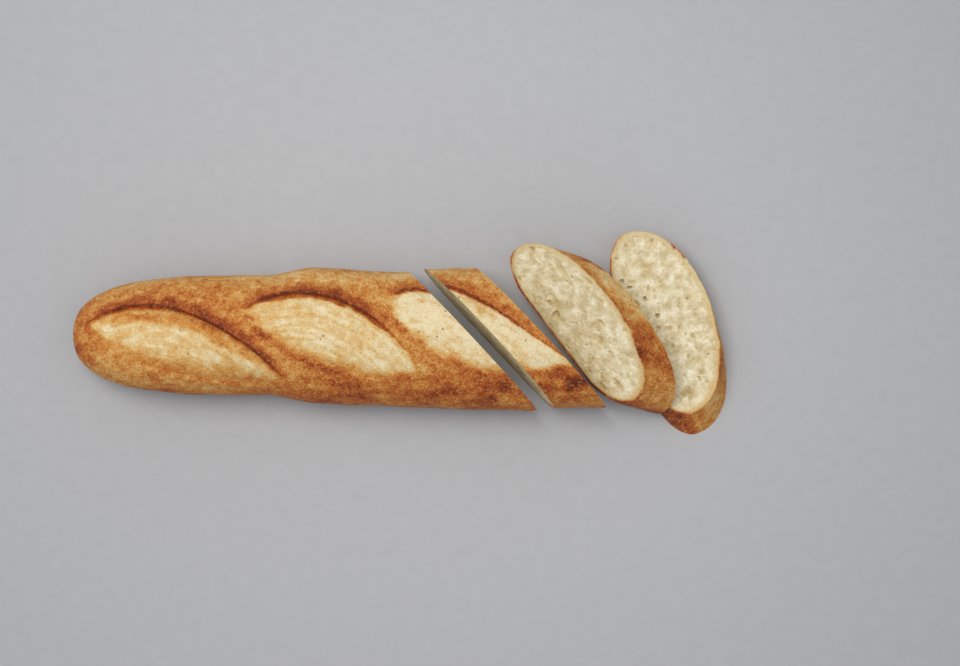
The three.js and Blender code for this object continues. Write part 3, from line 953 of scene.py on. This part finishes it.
def cut_face(cut_number, ring, side):
    """Points and triangles of one cut face inside a ring of points, pressed in at its holes."""
    at, lean = CUTS[cut_number]
    lean = math.radians(lean)
    normal = np.array([math.cos(BIAS) * math.cos(lean), math.sin(BIAS) * math.cos(lean), -math.sin(lean)])
    along_axis = np.array(FOOT_LINE)
    up_axis = np.cross(along_axis, normal)
    origin = np.array([at / math.cos(BIAS), 0, 0])
    flat_ring = np.stack([(ring - origin) @ along_axis, (ring - origin) @ up_axis], -1)
    low, high = flat_ring.min(0), flat_ring.max(0)
    rows = np.arange(low[1], high[1], CRUMB_CELL * ROW_STEP)
    points = []
    random = np.random.default_rng(7 + cut_number)
    for i, row in enumerate(rows):
        columns = np.arange(low[0] + (i % 2) * CRUMB_CELL / 2, high[0], CRUMB_CELL)
        points.append(np.stack([columns, np.full_like(columns, row)], -1))
    points = np.vstack(points)
    points = points + random.uniform(-SHAKE, SHAKE, points.shape) * CRUMB_CELL
    inside, edge_distance = within(flat_ring, points)
    kept = inside & (edge_distance > CLEARANCE * CRUMB_CELL)
    flat, edge_distance = points[kept], edge_distance[kept]
    everything = [Vector(p) for p in np.vstack([flat_ring, flat])]
    result = geometry.delaunay_2d_cdt(everything, [], [list(range(len(flat_ring)))], 1, 1e-7)
    triangles = np.array([[result[3][i][0] for i in face] for face in result[2]])
    depth = pressed_in(cut_number, flat[:, 0], flat[:, 1], side)
    places = np.stack([flat[:, 0], flat[:, 1], np.full(len(flat), 3.0 * cut_number)], -1)
    rough = 0.12 + 0.09 * noise(places, 1.1, 61)
    rough = rough + 0.08 * noise(places, 2.3, 63) + 0.1 * noise(places, 5.0, 62)
    depth = (depth + np.maximum(rough, 0)) * smooth(0.0, 0.6, edge_distance)
    solid = origin + flat[:, :1] * along_axis + flat[:, 1:] * up_axis + side * depth[:, None] * normal
    return solid, triangles, depth, edge_distance


CREAM = [(0.36, (0.63, 0.53, 0.32)), (0.5, (0.80, 0.71, 0.49)), (0.64, (0.93, 0.87, 0.69))]
# The olive patches are the crumb's own tint; the second colour is the painted shade of its tiny pores.
OLIVE, PAINTED_PORE_SHADE = (0.56, 0.44, 0.23), (0.50, 0.38, 0.19)
# Painted shade in the holes: the crumb's colour is multiplied darker and browner the deeper a point lies
# in a hole.
PAINTED_HOLE_SHADE = [(0.0, (1, 1, 1)), (0.3, (0.86, 0.79, 0.66)), (1.0, (0.62, 0.50, 0.32))]
crumb_material, nodes, links, shader = new_material("cream_crumb", 0.9)
grain = attribute_node(nodes, "grain", "Vector")
mottle = noise_node(nodes, links, grain, 190, 4, 0.6)
fine = noise_node(nodes, links, grain, 1500, 3, 0.6)
colour = ramp_node(nodes, links, mottle, CREAM)
grainy = range_node(nodes, links, fine, 0.3, 0.7, 0.87, 1.05)
colour = mix_node(nodes, links, 1.0, colour, grainy, "MULTIPLY")
patches = noise_node(nodes, links, grain, 420, 2, 0.5)
olive = range_node(nodes, links, patches, 0.55, 0.72, 0.0, 0.5)
colour = mix_node(nodes, links, olive, colour, OLIVE)
near_crust = attribute_node(nodes, "near_crust")
colour = mix_node(nodes, links, near_crust, colour, rim_colour(nodes, links, grain))
holes = nodes.new("ShaderNodeTexVoronoi")
holes.inputs["Scale"].default_value = 900
links.new(grain, holes.inputs["Vector"])
small = range_node(nodes, links, holes.outputs["Distance"], 0.12, 0.36, 0.62, 1.0)
deep = ramp_node(nodes, links, attribute_node(nodes, "pit"), PAINTED_HOLE_SHADE)
colour = mix_node(nodes, links, 1.0, colour, deep, "MULTIPLY")
# Painted shade: the tiny pores that the bump presses in are also painted as dark specks.
painted_pore_shade = math_node(nodes, links, "SUBTRACT", 1.0, small)
colour = mix_node(nodes, links, painted_pore_shade, colour, PAINTED_PORE_SHADE)
links.new(colour, shader.inputs["Base Color"])
shader.inputs["Subsurface Weight"].default_value = 0.15
shader.inputs["Subsurface Radius"].default_value = (0.004, 0.003, 0.0015)
shader.inputs["Subsurface Scale"].default_value = 0.4
under = bump_node(nodes, links, fine, 0.0003, 0.5)
links.new(bump_node(nodes, links, small, 0.0004, 0.6, under), shader.inputs["Normal"])

HEEL_WALL_RINGS, SLICE_WALL_RINGS = 26, 5
for body, (near, far, _, place) in GROUPS.items():
    lattice = lattices[body]
    ring_count = HEEL_WALL_RINGS if near is None else SLICE_WALL_RINGS
    picked = np.unique(np.linspace(0, len(lattice["inside"]) - 1, ring_count).astype(int))
    where = lattice["x"][picked], lattice["angle"][picked]
    wall = lattice["inside"][picked].copy()
    wall[..., 1:] += (section(*where, SKIN - OVERLAP) - section(*where, SKIN))[..., 1:]
    wall[-1, :, 0] = cut_station(far, wall[-1, :, 1], wall[-1, :, 2])
    if near is not None:
        wall[0, :, 0] = cut_station(near, wall[0, :, 1], wall[0, :, 2])
    count, around = wall.shape[:2]
    index = np.arange(count * around).reshape(count, around)
    a, b = index[:-1], np.roll(index, -1, 1)[:-1]
    c, d = np.roll(index, -1, 1)[1:], index[1:]
    faces = [np.stack([a, b, c, d], -1).reshape(-1, 4)]
    total = count * around
    vertices, pits, rims = [wall.reshape(-1, 3)], [np.zeros(total)], [np.ones(total)]
    ends = [(far, count - 1, -1)]
    if near is not None:
        ends.append((near, 0, 1))
    for cut, row, side in ends:
        points, triangles, depth, edge_distance = cut_face(CUTS.index(cut), wall[row], side)
        lookup = np.concatenate([index[row], total + np.arange(len(points))])
        triangles = lookup[triangles]
        corner = np.vstack([*vertices, points])[triangles]
        outward = np.cross(corner[:, 1] - corner[:, 0], corner[:, 2] - corner[:, 0])[:, 0]
        triangles = np.where((outward * side > 0)[:, None], triangles[:, ::-1], triangles)
        faces.append(np.hstack([triangles, triangles[:, 2:]]))
        vertices.append(points)
        # How deep each point lies in a hole, which sets the painted shade there.
        pits.append(np.clip(depth / DARKEST_SHADE_DEPTH, 0, 1))
        rims.append(np.exp(-edge_distance / GOLDEN_RIM))
        total += len(points)
    faces = np.vstack(faces)
    if near is None:
        faces = close_tip(faces, 0, around)
    mesh, used, _, _ = mesh_from(f"{body}_crumb_core", np.vstack(vertices), faces, place)
    mesh.polygons.foreach_set("use_smooth", np.ones(len(mesh.polygons), bool))
    write_attribute(mesh, "pit", np.concatenate(pits)[used])
    write_attribute(mesh, "near_crust", np.concatenate(rims)[used])
    mesh.materials.append(crumb_material)
    crumb = bpy.data.objects.new(f"{body}_crumb_core", mesh)
    bpy.context.collection.objects.link(crumb)
    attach(crumb, body)
    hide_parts(f"{body}_crumb")
